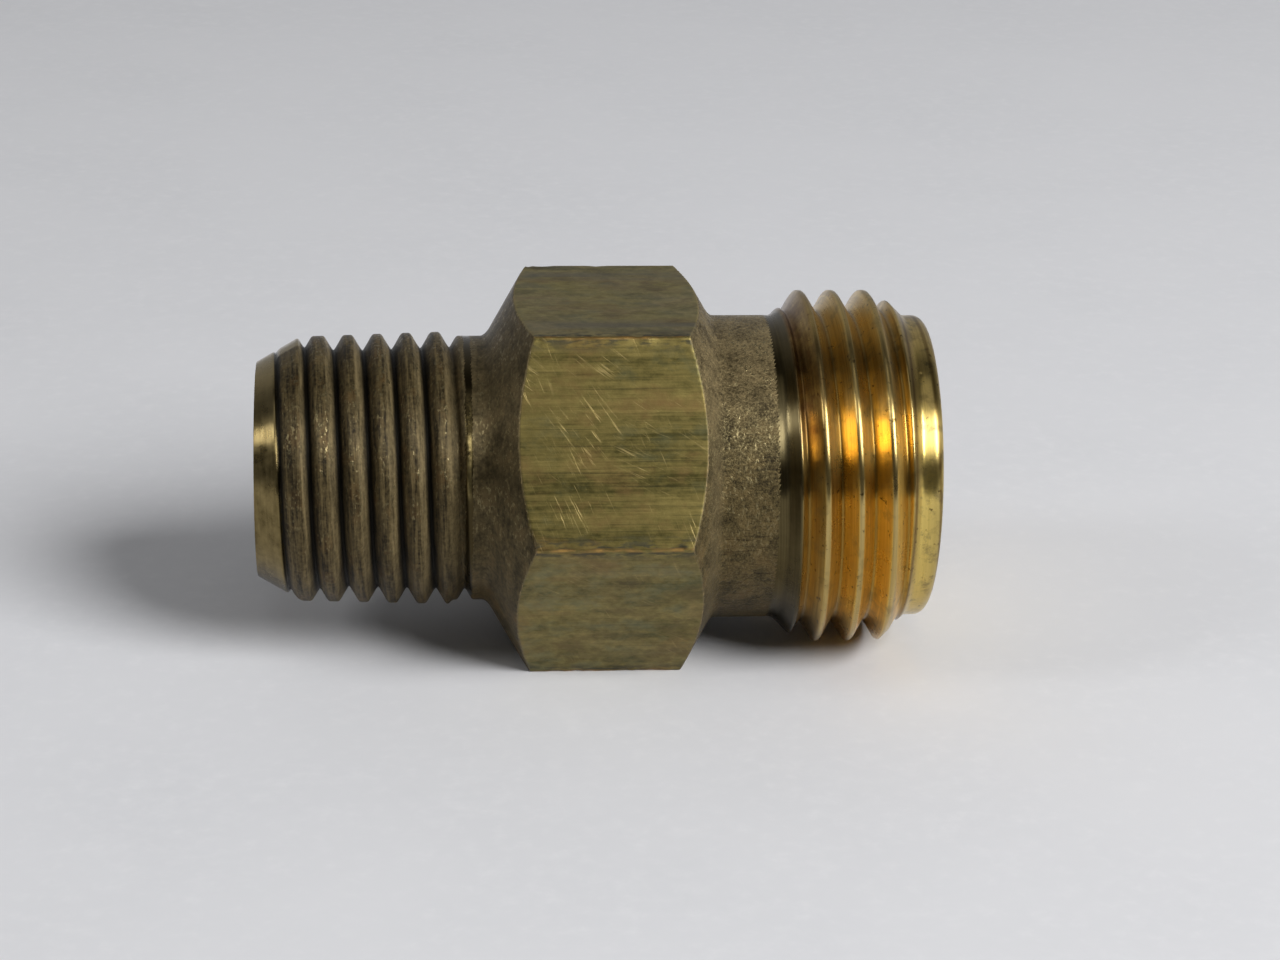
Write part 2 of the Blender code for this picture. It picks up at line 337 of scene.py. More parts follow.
def bore_profile():
    """The surface from the outlet face through the stepped bore to the inlet face."""
    drill = (CHAMBER - INLET_BORE) / CONE_SLOPE
    corners = [
        (LENGTH, NOSE_RADIUS - NOSE_CORNER - 0.02),
        (LENGTH, RECESS),
        (RECESS_START, RECESS),
        (RECESS_START, CHAMBER),
        (CHAMBER_START + drill, CHAMBER),
        (CHAMBER_START, INLET_BORE),
        (INLET_CHAMFER, INLET_BORE),
        (0.0, INLET_BORE + INLET_CHAMFER),
        (0.0, INLET_RADIUS - 0.03),
    ]
    return soften(corners, 0.1)


def to_world(station, radius, turn):
    """Place in metres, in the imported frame."""
    angle = TAU * turn
    x = (INLET_X + station) * MM
    return (x, -radius * math.sin(angle) * MM, radius * math.cos(angle) * MM)


def zip_columns(left, right, left_stations, right_stations):
    """Triangles between two neighbouring columns of vertices, each sorted by station."""
    faces = []
    i = j = 0
    while i < len(left) - 1 or j < len(right) - 1:
        grow_left = j == len(right) - 1
        if i < len(left) - 1 and not grow_left:
            grow_left = left_stations[i + 1] - right_stations[j] <= right_stations[j + 1] - left_stations[i]
        if grow_left:
            faces.append((left[i], right[j], left[i + 1]))
            i += 1
        else:
            faces.append((left[i], right[j], right[j + 1]))
            j += 1
    return faces


def add_object(name, data):
    """Object with this data, in the scene."""
    item = bpy.data.objects.new(name, data)
    bpy.context.scene.collection.objects.link(item)
    return item


def mesh_object(name, vertices, faces):
    """Smooth-shaded mesh object in the scene, with its faces turned outward."""
    mesh = bpy.data.meshes.new(name)
    mesh.from_pydata(vertices, [], faces)
    bm = bmesh.new()
    bm.from_mesh(mesh)
    bmesh.ops.recalc_face_normals(bm, faces=bm.faces)
    bm.to_mesh(mesh)
    bm.free()
    mesh.shade_smooth()
    return add_object(name, mesh)


# Numbers of the body's four finishes, in the order in which they are added to it.
PATINA, FLATS, BORE, TURNED = range(4)


def finish_numbers(outside, inside, marks):
    """Which finish each face of the body has: the flats and the clean brass go by the marks."""
    on_flat, clean = np.array(marks["flat"]), np.array(marks["clean"])
    numbers = []
    for face in outside:
        corners = list(face)
        if on_flat[corners].mean() > 0.5:
            numbers.append(FLATS)
        else:
            numbers.append(TURNED if clean[corners].mean() > 0.5 else PATINA)
    return numbers + [BORE] * len(inside)


def make_body():
    """The whole outer surface and the bore, as one closed mesh of lengthwise columns."""
    fixed = fixed_stations()
    bore = bore_profile()
    turns = column_turns()
    vertices, columns, bores = [], [], []
    marks = {name: [] for name in MARKS}
    for turn in turns:
        stations = np.concatenate([
            fixed["inlet"],
            helical_stations(turn, PIPE_GROOVE, PIPE_PITCH, *PIPE_STRETCH),
            fixed["middle"],
            helical_stations(turn, STRAIGHT_GROOVE, STRAIGHT_PITCH, *STRAIGHT_STRETCH),
            fixed["nose"],
        ])
        radii, column_marks = outer_surface(stations, turn)
        first = len(vertices)
        vertices += [to_world(s, r, turn) for s, r in zip(stations, radii)]
        columns.append((list(range(first, len(vertices))), stations))
        first = len(vertices)
        vertices += [to_world(s, r, turn) for s, r in bore]
        bores.append(list(range(first, len(vertices))))
        for name, values in column_marks.items():
            marks[name] += list(values) + [s if name == "wound" else 0.0 for s, _ in bore]
    outside, inside = [], []
    for k in range(len(turns)):
        left, left_stations = columns[k]
        right, right_stations = columns[(k + 1) % len(turns)]
        inner, inner_next = bores[k], bores[(k + 1) % len(turns)]
        outside += zip_columns(left, right, left_stations, right_stations)
        loop = [left[-1]] + inner + [left[0]]
        loop_next = [right[-1]] + inner_next + [right[0]]
        inside += [(a, c, d, b) for a, b, c, d in zip(loop, loop[1:], loop_next, loop_next[1:])]
    body = mesh_object("union_body", vertices, outside + inside)
    body.data.polygons.foreach_set("material_index", finish_numbers(outside, inside, marks))
    for name, values in marks.items():
        attribute = body.data.attributes.new(name, "FLOAT", "POINT")
        attribute.data.foreach_set("value", values)
    return body


class Finish:
    """A material's nodes, with one short call for each kind of node that the finishes use."""

    def __init__(self, name):
        self.material = bpy.data.materials.new(name)
        self.material.use_nodes = True
        self.nodes = self.material.node_tree.nodes
        self.links = self.material.node_tree.links
        self.shader = self.nodes["Principled BSDF"]
        here = self.add("ShaderNodeTexCoord").outputs["Object"]
        self.place = self.vector(here, (1.0 / MM,) * 3)

    def add(self, kind, inputs=None, **settings):
        node = self.nodes.new(kind)
        for key, value in settings.items():
            setattr(node, key, value)
        for key, value in (inputs or {}).items():
            if isinstance(value, bpy.types.NodeSocket):
                self.links.new(value, node.inputs[key])
            else:
                node.inputs[key].default_value = value
        return node

    def vector(self, place, stretch):
        return self.add("ShaderNodeVectorMath", {0: place, 1: stretch}, operation="MULTIPLY").outputs[0]

    def mark(self, name):
        """One of the marks stored at the body's vertices."""
        return self.add("ShaderNodeAttribute", attribute_name=name).outputs["Fac"]

    def axes(self, place):
        return self.add("ShaderNodeSeparateXYZ", {0: place}).outputs

    def station(self):
        return self.maths("SUBTRACT", self.axes(self.place)[0], INLET_X)

    def height(self):
        return self.axes(self.place)[2]

    def point(self, *numbers):
        return self.add("ShaderNodeCombineXYZ", dict(enumerate(numbers))).outputs[0]

    def from_axis(self):
        """Distance from the flow axis."""
        across = self.vector(self.place, (0.0, 1.0, 1.0))
        return self.add("ShaderNodeVectorMath", {0: across}, operation="LENGTH").outputs["Value"]

    def distance(self, place, centre):
        return self.add("ShaderNodeVectorMath", {0: place, 1: centre}, operation="DISTANCE").outputs["Value"]

    def wind(self):
        """Place in millimetres with its first number measured along the thread's lead."""
        axes = self.axes(self.place)
        return self.point(self.mark("wound"), axes[1], axes[2])

    def noise(self, fineness, detail=3.0, rough=0.55, at=None):
        """Noise from about 0 to 1; fineness is its features per millimetre, also one for each axis."""
        stretch = fineness if isinstance(fineness, tuple) else (fineness,) * 3
        place = self.vector(self.place if at is None else at, stretch)
        inputs = {"Vector": place, "Scale": 1.0, "Detail": detail, "Roughness": rough}
        value = self.add("ShaderNodeTexNoise", inputs).outputs["Fac"]
        return self.span(value, 0.25, 0.75)

    def span(self, value, low, high, start=0.0, end=1.0):
        """From start, where the value is low or beyond, to end, where it is high or beyond."""
        inputs = {"Value": value, "From Min": low, "From Max": high, "To Min": start, "To Max": end}
        return self.add("ShaderNodeMapRange", inputs).outputs["Result"]

    def maths(self, operation, a, b):
        return self.add("ShaderNodeMath", {0: a, 1: b}, operation=operation).outputs[0]

    def both(self, *shares):
        """Product of several shares."""
        result = shares[0]
        for share in shares[1:]:
            result = self.maths("MULTIPLY", result, share)
        return result

    def around(self, value, centre, core, reach):
        """1 within core of the centre, falling to 0 at reach."""
        away = self.maths("ABSOLUTE", self.maths("SUBTRACT", value, centre), 0.0)
        return self.span(away, core, reach, 1.0, 0.0)

    def total(self, *parts):
        """Sum of values, each times its weight."""
        result = None
        for value, weight in parts:
            part = self.maths("MULTIPLY", value, weight)
            result = part if result is None else self.maths("ADD", result, part)
        return result

    def blend(self, share, a, b):
        """From a to b, which are both numbers or both colours."""
        colour = any(getattr(v, "type", "") == "RGBA" or isinstance(v, tuple) for v in (a, b))
        first, second, result = (6, 7, 2) if colour else (2, 3, 0)
        a, b = ((*v, 1.0) if isinstance(v, tuple) else v for v in (a, b))
        kind = "RGBA" if colour else "FLOAT"
        return self.add("ShaderNodeMix", {0: share, first: a, second: b}, data_type=kind).outputs[result]

    def layers(self, colour, *paints):
        """The colour with each paint laid over it, where the paint's share is."""
        for share, paint in paints:
            colour = self.blend(share, colour, paint)
        return colour

    def bump(self, height, depth):
        """Surface normal for a height from 0 to 1 that stands for this depth in millimetres."""
        inputs = {"Height": height, "Distance": depth * MM, "Strength": 1.0}
        return self.add("ShaderNodeBump", inputs).outputs["Normal"]

    def turn_lengthwise(self):
        """Spread reflections along the flow axis, as the fine rings that a lathe leaves do."""
        self.shader.inputs["Anisotropic"].default_value = 0.9
        self.links.new(self.point(1.0), self.shader.inputs["Tangent"])

    def finish(self, colour, roughness, normal=None, metallic=1.0):
        sockets = {"Base Color": colour, "Roughness": roughness, "Normal": normal, "Metallic": metallic}
        for name, value in sockets.items():
            if isinstance(value, bpy.types.NodeSocket):
                self.links.new(value, self.shader.inputs[name])
            elif value is not None:
                self.shader.inputs[name].default_value = (*value, 1.0) if isinstance(value, tuple) else value
        return self.material


def tarnish_flats(f, colour, side, stain, hue):
    """The flats' colour with tints, brown and green stains and clouds, and dark lines along the bar."""
    cloud = f.noise((0.5, 0.8, 0.8), detail=5.0, rough=0.7)
    tarnished = f.span(side, 0.1, 0.22)
    thin = f.span(f.noise((0.13, 9.0, 9.0), detail=2.0), 0.72, 0.95)
    return f.layers(
        colour,
        (f.both(f.span(hue, 0.5, 0.9, 0.0, 0.55), side), (0.42, 0.345, 0.09)),
        (f.both(f.span(hue, 0.5, 0.1, 0.0, 0.5), side), (0.34, 0.25, 0.16)),
        (f.span(stain, 0.5, 0.95, 0.0, 0.7), (0.19, 0.11, 0.045)),
        (f.span(stain, 0.05, 0.4, 0.6, 0.0), (0.09, 0.098, 0.055)),
        (f.both(f.span(cloud, 0.5, 0.85, 0.0, 0.6), tarnished), (0.12, 0.088, 0.042)),
        (f.both(f.span(cloud, 0.5, 0.2, 0.0, 0.5), tarnished), (0.17, 0.175, 0.095)),
        (f.both(thin, f.span(side, 0.0, 0.3, 0.45, 0.2)), (0.03, 0.028, 0.014)),
    )


def wear_flat_edges(f, colour, side, bands, hue):
    """The colour with rubbed brass on the flats' edges, dark bands beside them and worn arcs at the cones."""
    patchy = f.span(f.noise((1.3, 4.0, 4.0)), 0.3, 0.8)
    back = f.span(f.axes(f.place)[1], 2.5, 4.0)
    front = f.span(back, 0.0, 1.0, 1.0, 0.0)
    corner = f.mark("corner")
    beside = f.both(f.span(corner, 0.1, 0.75, 0.85, 0.0), f.span(patchy, 0.2, 0.7), front)
    tide = f.both(f.around(corner, 1.5, 0.2, 0.8), f.span(bands, 0.35, 0.7, 0.0, 0.6))
    rim = f.blend(back, (0.5, 0.3, 0.09), (0.6, 0.44, 0.17))
    arc = f.mark("edge")
    return f.layers(
        colour,
        (beside, (0.055, 0.055, 0.042)),
        (f.both(tide, f.span(hue, 0.2, 0.5), side), (0.15, 0.14, 0.12)),
        (f.both(f.span(corner, 0.03, 0.14, 1.0, 0.0), patchy), rim),
        (f.span(arc, 0.3, 0.9, 0.0, 0.6), (0.12, 0.085, 0.04)),
        (f.both(f.span(arc, 0.6, 1.0), f.span(patchy, 0.4, 0.9, 0.0, 0.8)), (0.42, 0.3, 0.13)),
    )


# Each group of scratches on the flats: its slope, its centre in millimetres along and around the bar, and its
# reach. A group without a centre is scattered over every flat.
SCRATCH_GROUPS = (
    (0.5, (-1.4, 11.6), 2.4),
    (0.75, (-0.6, 8.6), 2.6),
    (2.2, (2.4, 9.6), 2.2),
    (0.45, None, None),
    (1.5, None, None),
)


def scratch_marks(f):
    """Where the flats are scratched: short thin marks, in three groups on the front flat and scattered."""
    lengthwise, around = f.axes(f.place)[0], f.mark("around")
    spot = f.point(lengthwise, around)
    marks = 0.0
    for slope, centre, reach in SCRATCH_GROUPS:
        size = math.hypot(1.0, slope)
        across = f.total((lengthwise, 1.0 / size), (around, -slope / size))
        along = f.total((lengthwise, slope / size), (around, 1.0 / size))
        place = f.point(across, along, slope * 7.0)
        if centre:
            there = f.span(f.distance(spot, (*centre, 0.0)), 0.3 * reach, reach, 1.0, 0.0)
        else:
            scattered = f.span(f.noise((0.35, 0.35, 1.0), detail=2.0, at=place), 0.5, 0.8)
            there = f.both(scattered, f.span(f.mark("side"), 0.0, 0.22, 1.0, 0.4))
        thin = f.span(f.noise((10.0, 0.5, 1.0), detail=4.0, rough=0.6, at=place), 0.7, 0.95)
        marks = f.maths("MAXIMUM", marks, f.both(thin, there))
    return marks


def drawn_flats():
    """Olive brass of the drawn bar's own surface: lines along the bar, crossing scratches, worn edges."""
    f = Finish("aged_brass_flats")
    side = f.mark("side")
    lines = f.noise((0.25, 7.0, 7.0), detail=5.0, rough=0.7)
    bands = f.noise((0.08, 1.0, 1.0), detail=4.0, rough=0.6)
    mottle = f.noise((2.0, 2.6, 2.6), detail=4.0, rough=0.65)
    stain = f.noise((0.3, 0.55, 0.55), detail=6.0, rough=0.65)
    hue = f.noise((0.22, 0.4, 0.4), detail=4.0, rough=0.6)
    drawn = f.total((lines, 0.25), (bands, 0.5), (mottle, 0.25))
    cloudy = f.total((lines, 0.1), (bands, 0.25), (mottle, 0.35), (stain, 0.3))
    tone = f.span(f.blend(f.span(side, 0.0, 0.22), drawn, cloudy), 0.27, 0.73)
    brassy = f.blend(tone, (0.058, 0.05, 0.016), (0.26, 0.205, 0.068))
    grey = f.blend(tone, (0.22, 0.19, 0.078), (0.48, 0.39, 0.165))
    colour = tarnish_flats(f, f.blend(side, brassy, grey), side, stain, hue)
    scratches = scratch_marks(f)
    colour = f.blend(scratches, colour, (0.5, 0.38, 0.16))
    colour = wear_flat_edges(f, colour, side, bands, hue)
    relief = f.total((lines, 0.5), (mottle, 0.4), (scratches, -0.5))
    arc = f.mark("edge")
    roughness = f.blend(arc, f.blend(tone, 0.5, 0.4), 0.6)
    return f.finish(colour, roughness, f.bump(relief, 0.008), f.span(arc, 0.2, 0.8, 1.0, 0.5))


def left_patina(f, tone, height):
    """Olive brown of the inlet neck and the left cone, with painted light that makes it paler towards the
    top.
    """
    low = f.blend(tone, (0.045, 0.034, 0.015), (0.142, 0.107, 0.049))
    high = f.blend(tone, (0.09, 0.068, 0.032), (0.25, 0.19, 0.095))
    # Painted light: paler with height, where the lamps light the top.
    return f.blend(f.span(height, 1.5, 6.0, 0.0, 0.6), low, high)


def right_patina(f, sandy):
    """Dark, sandy brown of the right cone and the outlet neck, scored lengthwise."""
    brown = f.blend(sandy, (0.028, 0.021, 0.009), (0.19, 0.142, 0.06))
    scored = f.span(f.noise((0.7, 8.0, 8.0), rough=0.6), 0.66, 0.84, 0.0, 0.75)
    return f.blend(scored, brown, (0.02, 0.014, 0.006))


def thread_patina(f, streak, grain, blotch, root_dirt_and_shade):
    """Dark pipe thread: rusty in places, paler on the flanks that face the outlet and the key lamp as painted
    light, black at its roots from dirt and painted shade.
    """
    tone = f.span(f.total((streak, 0.65), (grain, 0.35)), 0.3, 0.75)
    ridge = f.blend(tone, (0.022, 0.016, 0.007), (0.15, 0.11, 0.048))
    ridge = f.blend(f.span(blotch, 0.55, 0.9, 0.0, 0.45), ridge, (0.15, 0.085, 0.03))
    # Painted light: the flanks that face the outlet, towards the key lamp, are made paler.
    facing_outlet = f.span(f.mark("lean"), 0.3, 0.75)
    pale = f.blend(tone, (0.08, 0.06, 0.028), (0.25, 0.19, 0.092))
    ridge = f.blend(f.both(facing_outlet, 0.85), ridge, pale)
    # Dirt and painted shade: the roots turn nearly black.
    return f.blend(root_dirt_and_shade, ridge, (0.005, 0.004, 0.002))


def light_and_shade_right(f, colour, sandy, height, on_right):
    """The colour of the right cone and neck with painted light and shade: paler on top, darker underneath."""
    # Painted light on top.
    above = f.both(on_right, f.span(height, 4.0, 7.0, 0.0, 0.8))
    colour = f.blend(above, colour, f.blend(sandy, (0.085, 0.064, 0.03), (0.38, 0.292, 0.147)))
    # Painted shade underneath.
    below = f.both(on_right, f.span(height, -1.0, -6.0, 0.0, 0.5))
    return f.blend(below, colour, (0.05, 0.036, 0.014))


def painted_highlight_streak(f, height, on_right, fine, grain):
    """Painted highlight: the grainy bright streak along the near side of the outlet neck, at the height where
    the key lamp's reflection falls.
    """
    rubbed = f.both(on_right, f.around(height, 4.2, 0.4, 1.5), f.span(f.axes(f.place)[1], -4.0, -5.2))
    return f.both(rubbed, f.span(fine, 0.35, 0.8), f.span(grain, 0.3, 0.75))


def patina():
    """Brown, grainy oxide of the cones, the necks and the pipe thread, with painted light, painted shade and
    a painted highlight in places.
    """
    f = Finish("aged_brass_patina")
    station, height = f.station(), f.height()
    grain = f.noise(5.0, detail=4.0, rough=0.65)
    fine = f.noise(11.0, rough=0.7)
    blotch = f.noise(0.9, detail=5.0, rough=0.6)
    streak = f.noise((7.0, 0.45, 0.45), detail=4.0, rough=0.6, at=f.wind())
    tone = f.span(f.total((grain, 0.4), (blotch, 0.4), (streak, 0.2)), 0.3, 0.7)
    sandy = f.span(f.total((fine, 0.35), (grain, 0.3), (blotch, 0.35)), 0.32, 0.68)
    in_thread = f.span(station, 9.0, 9.8, 1.0, 0.0)
    on_right = f.span(station, 20.0, 21.4)
    # Dirt and painted shade in the thread roots.
    root_dirt_and_shade = f.span(f.mark("root"), 0.08, 0.24, 0.96, 0.0)

    colour = f.blend(on_right, left_patina(f, tone, height), right_patina(f, sandy))
    rusty = f.both(f.span(blotch, 0.5, 0.85, 0.0, 0.6), f.span(height, 0.0, -5.0, 0.3, 1.0))
    colour = f.blend(rusty, colour, (0.16, 0.095, 0.035))
    fillet = f.both(f.around(station, 21.7, 0.15, 0.5), 0.6)
    colour = f.blend(fillet, colour, f.blend(tone, (0.13, 0.1, 0.048), (0.22, 0.17, 0.085)))
    colour = f.blend(in_thread, colour, thread_patina(f, streak, grain, blotch, root_dirt_and_shade))
    # Painted light on top and painted shade underneath of the right cone and neck.
    colour = light_and_shade_right(f, colour, sandy, height, on_right)

    spots = f.span(f.noise((8.0, 4.0, 4.0), detail=2.0), 0.62, 0.8)
    spots = f.both(spots, f.span(blotch, 0.35, 0.65), f.span(height, -2.5, 2.0, 0.25, 1.0))
    spots = f.both(spots, f.span(f.both(root_dirt_and_shade, in_thread), 0.0, 0.3, 1.0, 0.0))
    # Painted highlight on the near side of the outlet neck, added to the real worn spots; both turn paler
    # brass and more metallic.
    rubbed = painted_highlight_streak(f, height, on_right, fine, grain)
    worn = f.maths("MAXIMUM", spots, rubbed)
    colour = f.blend(f.both(worn, f.blend(rubbed, 0.35, 1.0)), colour, (0.52, 0.44, 0.23))

    grit = f.blend(on_right, f.blend(in_thread, 0.012, 0.02), 0.045)
    relief = f.both(f.total((fine, 0.35), (grain, 0.5), (blotch, 0.15), (worn, 0.3)), grit)
    f.shader.inputs["Specular IOR Level"].default_value = 0.2
    f.turn_lengthwise()
    metal = f.blend(worn, f.blend(in_thread, 0.5, 0.35), 1.0)
    return f.finish(colour, f.blend(worn, 0.52, 0.33), f.bump(relief, 1.0), metal)


def chamfer_brass(f, wound):
    """Colour of the worn lead chamfer, olive brass with blotches, painted shade low down, painted light near
    the top and dirt with painted shade in its first groove, and the blotches themselves.
    """
    blotch = f.noise(1.3, detail=5.0, rough=0.6)
    streak = f.noise((6.0, 0.5, 0.5), detail=4.0, rough=0.6, at=wound)
    tone = f.span(f.total((streak, 0.35), (blotch, 0.65)), 0.25, 0.75)
    colour = f.blend(tone, (0.12, 0.088, 0.035), (0.36, 0.275, 0.12))
    height = f.height()
    # Painted shade: darker low down.
    colour = f.blend(f.span(height, 1.6, 0.2, 0.0, 0.45), colour, (0.1, 0.075, 0.03))
    # Painted light: paler near the top.
    colour = f.blend(f.span(height, 3.7, 4.8, 0.0, 0.6), colour, (0.42, 0.33, 0.165))
    # Dirt and painted shade in the first groove's root.
    root_dirt_and_shade = f.both(f.span(f.mark("root"), 0.06, 0.2, 0.95, 0.0), f.span(f.mark("cut"), 0.02, 0.06))
    return f.blend(root_dirt_and_shade, colour, (0.01, 0.008, 0.004)), blotch


def thread_brass(f, lines):
    """Bright straight thread: orange flanks, brighter from the second turn on, and duller crests."""
    first = f.blend(lines, (0.3, 0.165, 0.035), (0.6, 0.4, 0.11))
    later = f.blend(lines, (0.5, 0.275, 0.045), (0.86, 0.56, 0.12))
    flank = f.blend(f.span(f.mark("wound"), 26.6, 28.0), first, later)
    crest = f.blend(lines, (0.38, 0.27, 0.09), (0.58, 0.43, 0.17))
    return f.blend(f.span(f.mark("cut"), 0.01, 0.07, 1.0, 0.0), flank, crest)


def nose_brass(f, lines, station, height):
    """Plain nose: clean yellow brass, duller at its end, and darker underneath as painted shade."""
    nose = f.blend(lines, (0.6, 0.44, 0.115), (0.76, 0.57, 0.17))
    nose = f.blend(f.span(station, 31.9, 32.4, 0.0, 0.5), nose, (0.44, 0.335, 0.12))
    # Painted shade: darker underneath.
    return f.blend(f.span(height, -1.0, -7.0, 0.0, 0.6), nose, (0.5, 0.37, 0.13))


def stain_turned(f, colour, lines, film, station, height, on_nose):
    """The colour with a brown tarnish film and painted reflection on top, dirt on the nose, dark specks and
    roots, and a rusty first turn.
    """
    top_film_and_reflection = f.both(f.span(height, 1.5, 6.5), f.span(film, 0.25, 0.75, 0.3, 0.85))
    dirty = f.span(f.noise(1.1, detail=6.0, rough=0.7), 0.56, 0.8, 0.0, 0.7)
    specks = f.noise(2.8, rough=0.6)
    first_turn = f.around(f.mark("wound"), 25.7, 0.5, 1.3)
    rusty = f.both(first_turn, f.span(height, 2.5, 5.0), f.span(film, 0.3, 0.6, 0.3, 0.9))
    return f.layers(
        colour,
        # Brown tarnish film and painted reflection on the top half, where the pale backdrop is reflected.
        (top_film_and_reflection, f.blend(lines, (0.36, 0.25, 0.085), (0.72, 0.53, 0.21))),
        (f.span(film, 0.6, 0.8, 0.0, 0.55), (0.24, 0.17, 0.06)),
        (f.both(dirty, on_nose), (0.2, 0.155, 0.07)),
        (f.span(specks, 0.78, 0.9, 0.0, 0.85), (0.09, 0.055, 0.018)),
        (f.both(f.around(station, 31.3, 0.02, 0.14), 0.7), (0.1, 0.05, 0.012)),
        (f.span(f.mark("root"), 0.03, 0.12, 0.6, 0.0), (0.14, 0.075, 0.015)),
        (rusty, f.blend(specks, (0.1, 0.045, 0.014), (0.24, 0.125, 0.04))),
    )


def run_out_brass(f, lines, film, height, near):
    """Dull brown run-out at the straight thread's left, darker underneath as painted shade, with a painted
    highlight streak along its near side.
    """
    dull = f.blend(f.total((lines, 0.5), (film, 0.5)), (0.045, 0.034, 0.014), (0.155, 0.12, 0.054))
    # Painted shade: darker underneath.
    dull = f.blend(f.span(height, -1.0, -5.0, 0.0, 0.6), dull, (0.04, 0.029, 0.011))
    # Painted highlight: a pale streak on the near side, at the height of the key lamp's reflection.
    streak = f.both(f.around(height, 4.4, 0.5, 1.6), near, 0.3)
    return f.blend(streak, dull, (0.46, 0.38, 0.2))


def ring_with_painted_highlight(f, film, station, height, near):
    """Ring of the inlet neck with a painted highlight: bright brass on its near side above mid height, and
    brown elsewhere.
    """
    rubbed = f.both(f.span(film, 0.3, 0.6), f.around(station, RUBBED_RING, 0.06, 0.15))
    ring = f.blend(rubbed, (0.06, 0.045, 0.018), (0.62, 0.48, 0.2))
    # Painted highlight: the bright ring colour only on the near side above mid height.
    return f.blend(f.both(f.span(height, 0.8, 2.4), near), (0.06, 0.045, 0.02), ring)


def turned_brass():
    """Clean brass outside: the lead chamfer, a ring of the inlet neck, and the straight thread with run-out
    and nose, with painted light, shade and highlights in places.
    """
    f = Finish("aged_brass_turned")
    station, height, wound = f.station(), f.height(), f.wind()
    lines = f.noise((12.0, 0.2, 0.2), rough=0.6, at=wound)
    film = f.noise(0.6, detail=6.0, rough=0.65)
    near = f.span(f.axes(f.place)[1], -3.6, -4.8)
    on_nose = f.span(station, 31.2, 31.6)
    in_run_out = f.span(f.mark("wound"), 25.45, 25.6, 1.0, 0.0)
    on_inlet_neck = f.span(station, 13.0, 14.0, 1.0, 0.0)
    on_chamfer = f.span(station, 5.0, 6.0, 1.0, 0.0)

    colour = f.blend(on_nose, thread_brass(f, lines), nose_brass(f, lines, station, height))
    colour = stain_turned(f, colour, lines, film, station, height, on_nose)
    colour = f.blend(in_run_out, colour, run_out_brass(f, lines, film, height, near))
    # The inlet neck's ring with its painted highlight.
    colour = f.blend(on_inlet_neck, colour, ring_with_painted_highlight(f, film, station, height, near))
    chamfer, blotch = chamfer_brass(f, wound)
    colour = f.blend(on_chamfer, colour, chamfer)
    f.turn_lengthwise()
    roughness = f.blend(on_chamfer, f.blend(film, 0.25, 0.33), f.blend(blotch, 0.22, 0.36))
    return f.finish(colour, roughness, f.bump(lines, 0.0015))


def bore_surface():
    """Bore and end faces: brown brass with turned rings, brighter from the outlet recess on, and blotches."""
    f = Finish("aged_brass_bore")
    rings = f.noise((9.0, 0.3, 0.3))
    blotch = f.noise(1.4, detail=5.0, rough=0.65)
    faced = f.noise((12.0, 1.0, 1.0), at=f.point(f.from_axis()))
    station = f.station()
    bore = f.blend(rings, (0.1, 0.075, 0.03), (0.26, 0.19, 0.075))
    inlet_face = f.blend(faced, (0.13, 0.098, 0.045), (0.28, 0.21, 0.095))
    outlet_face = f.blend(faced, (0.42, 0.31, 0.1), (0.62, 0.47, 0.17))
    colour = f.blend(f.span(station, 0.0, 0.2, 1.0, 0.0), bore, inlet_face)
    colour = f.blend(f.span(station, RECESS_START, LENGTH - 0.4), colour, outlet_face)
    colour = f.blend(f.span(blotch, 0.55, 0.85, 0.0, 0.55), colour, (0.12, 0.09, 0.045))
    relief = f.maths("ADD", rings, f.both(blotch, 2.0))
    return f.finish(colour, f.blend(blotch, 0.35, 0.6), f.bump(relief, 0.008))


body = make_body()
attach(body, "body")
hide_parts("fitting_body")
for finish in (patina(), drawn_flats(), bore_surface(), turned_brass()):
    body.data.materials.append(finish)


def ring_places(profile, columns):
    """Places of a turned profile at every column, as one list of rings."""
    return [[to_world(s, r, k / columns) for k in range(columns)] for s, r in profile]


def bridge(rings, vertices, faces):
    """Add rings of equal length and the quads between each ring and the next."""
    count = len(rings[0])
    first = len(vertices)
    for ring in rings:
        vertices.extend(ring)
    for row in range(len(rings) - 1):
        for k in range(count):
            a, b = first + row * count + k, first + row * count + (k + 1) % count
            faces.append((a, b, b + count, a + count))


def ends(low, high):
    """Stations of the two ends of a CAD box."""
    return low.x / MM - INLET_X, high.x / MM - INLET_X


def joined(name, vertices, faces):
    """Mesh object whose touching parts share their vertices."""
    item = mesh_object(name, vertices, faces)
    bm = bmesh.new()
    bm.from_mesh(item.data)
    bmesh.ops.remove_doubles(bm, verts=bm.verts, dist=1e-7)
    bmesh.ops.dissolve_degenerate(bm, edges=bm.edges, dist=1e-7)
    bmesh.ops.recalc_face_normals(bm, faces=bm.faces)
    bm.to_mesh(item.data)
    bm.free()
    return item


# The strainer's barrel; a window's size is its length and its width.
BARREL_COLUMNS = 64
GASKET_COLUMNS = 96
WINDOW_ROWS = (17.4, 22.4, 27.4)
WINDOW_PITCH = 5.0
WINDOW_SIZE = (4.0, 2.6)
WINDOW_CORNER = 0.7
BARREL_RADIUS = 3.6
BARREL_BORE = 3.1
SCREEN_STOP = 30.2
FLANGE_START = 31.9
BARREL_LEAD = 0.45


def cell_edge(steps_along, steps_around):
    """Points around a unit square, from -1 to 1, that match the columns of the neighbouring cells."""
    along = [-1.0 + 2.0 * k / steps_along for k in range(steps_along)]
    around = [-1.0 + 2.0 * k / steps_around for k in range(steps_around)]
    edge = [(-1.0, v) for v in around] + [(u, 1.0) for u in along]
    return edge + [(1.0, -v) for v in around] + [(-u, -1.0) for u in along]


